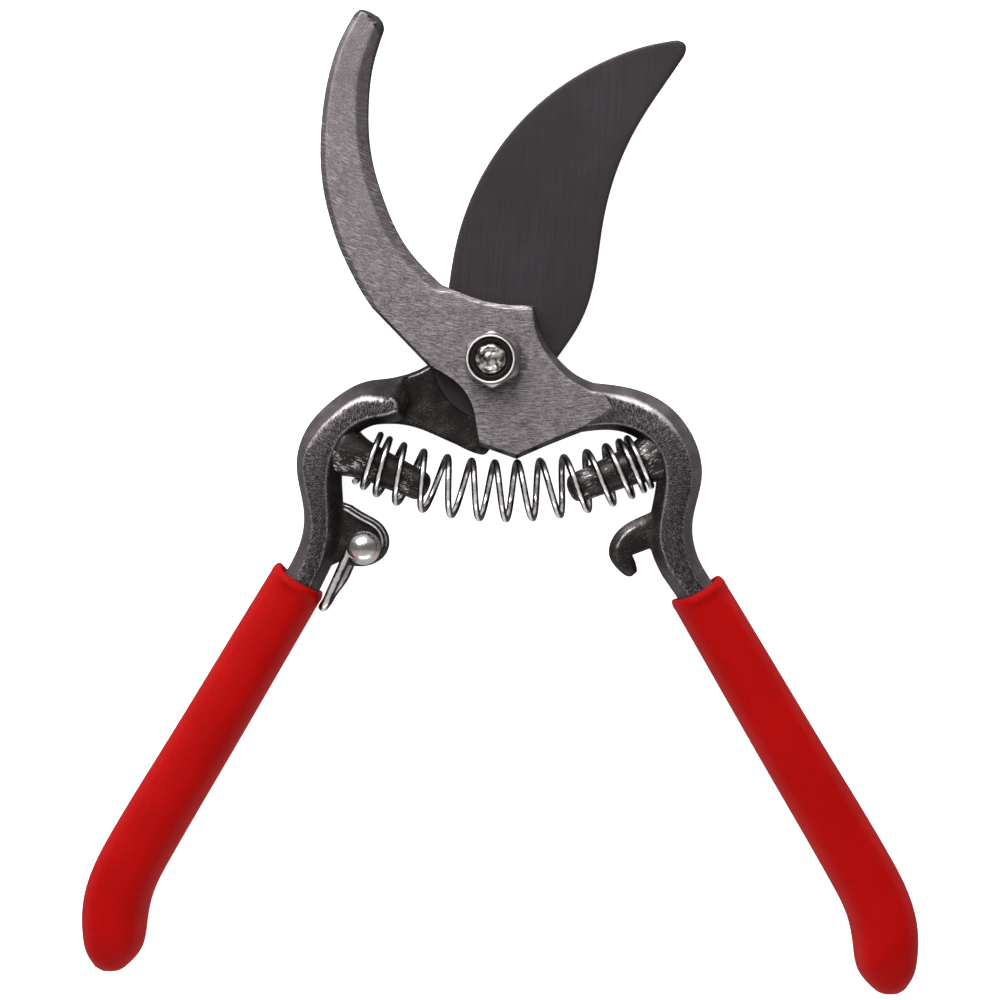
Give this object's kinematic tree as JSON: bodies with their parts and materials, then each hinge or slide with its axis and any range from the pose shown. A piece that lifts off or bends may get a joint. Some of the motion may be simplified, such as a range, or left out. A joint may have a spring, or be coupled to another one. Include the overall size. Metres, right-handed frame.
{
  "type": "pruning shears",
  "caption": "Forged bypass pruning shears, open: hooked counter-blade, curved cutting blade, coil return spring, wire latch and dipped vinyl grips.",
  "frame": {"origin": "on the pivot bolt's axis, at the face of the bolt's head that the shears lie on", "axes": "+Z runs along the bolt from its head to its nut, +Y towards the points of the blades, -Y along the handles"},
  "size_m": [0.1669, 0.1968, 0.0187],
  "materials": {
    "ground_steel": "drop-forged steel, ground flat on the hook and cheek with a visible brushed grain, rough and dark in the hollows",
    "dark_steel": "drop-forged steel with a dark, smoothly ground blade and rough forged web and arch",
    "red_vinyl": "dipped red vinyl, satin",
    "bright_plating": "bright nickel plating, slightly worn",
    "spring_wire": "bright drawn spring wire",
    "dark_nylon": "dark nylon locking ring"
  },
  "bodies": {
    "hook_half": {"hook_handle": "ground_steel", "right_grip": "red_vinyl", "pivot_bolt": "bright_plating", "pivot_nut": "bright_plating", "nut_insert": "dark_nylon", "return_spring": "spring_wire"},
    "blade_half": {"blade_handle": "dark_steel", "left_grip": "red_vinyl", "latch_rivet": "bright_plating"},
    "latch": {"latch_bail": "spring_wire"}
  },
  "joints": [
    {"name": "shears_close", "type": "hinge", "parent": "hook_half", "child": "blade_half", "pos_m": [0, 0, 0.008], "axis": [0, 0, 1], "range_deg": [0, 54.5], "stiffness_Nm_per_rad": 1.2, "springref_deg": -5.73, "deforming": ["return_spring"]},
    {"name": "latch_swing", "type": "hinge", "parent": "blade_half", "child": "latch", "pos_m": [-0.0258, -0.0377, 0.008], "axis": [0, 0, 1], "range_deg": [0, 83]}
  ]
}
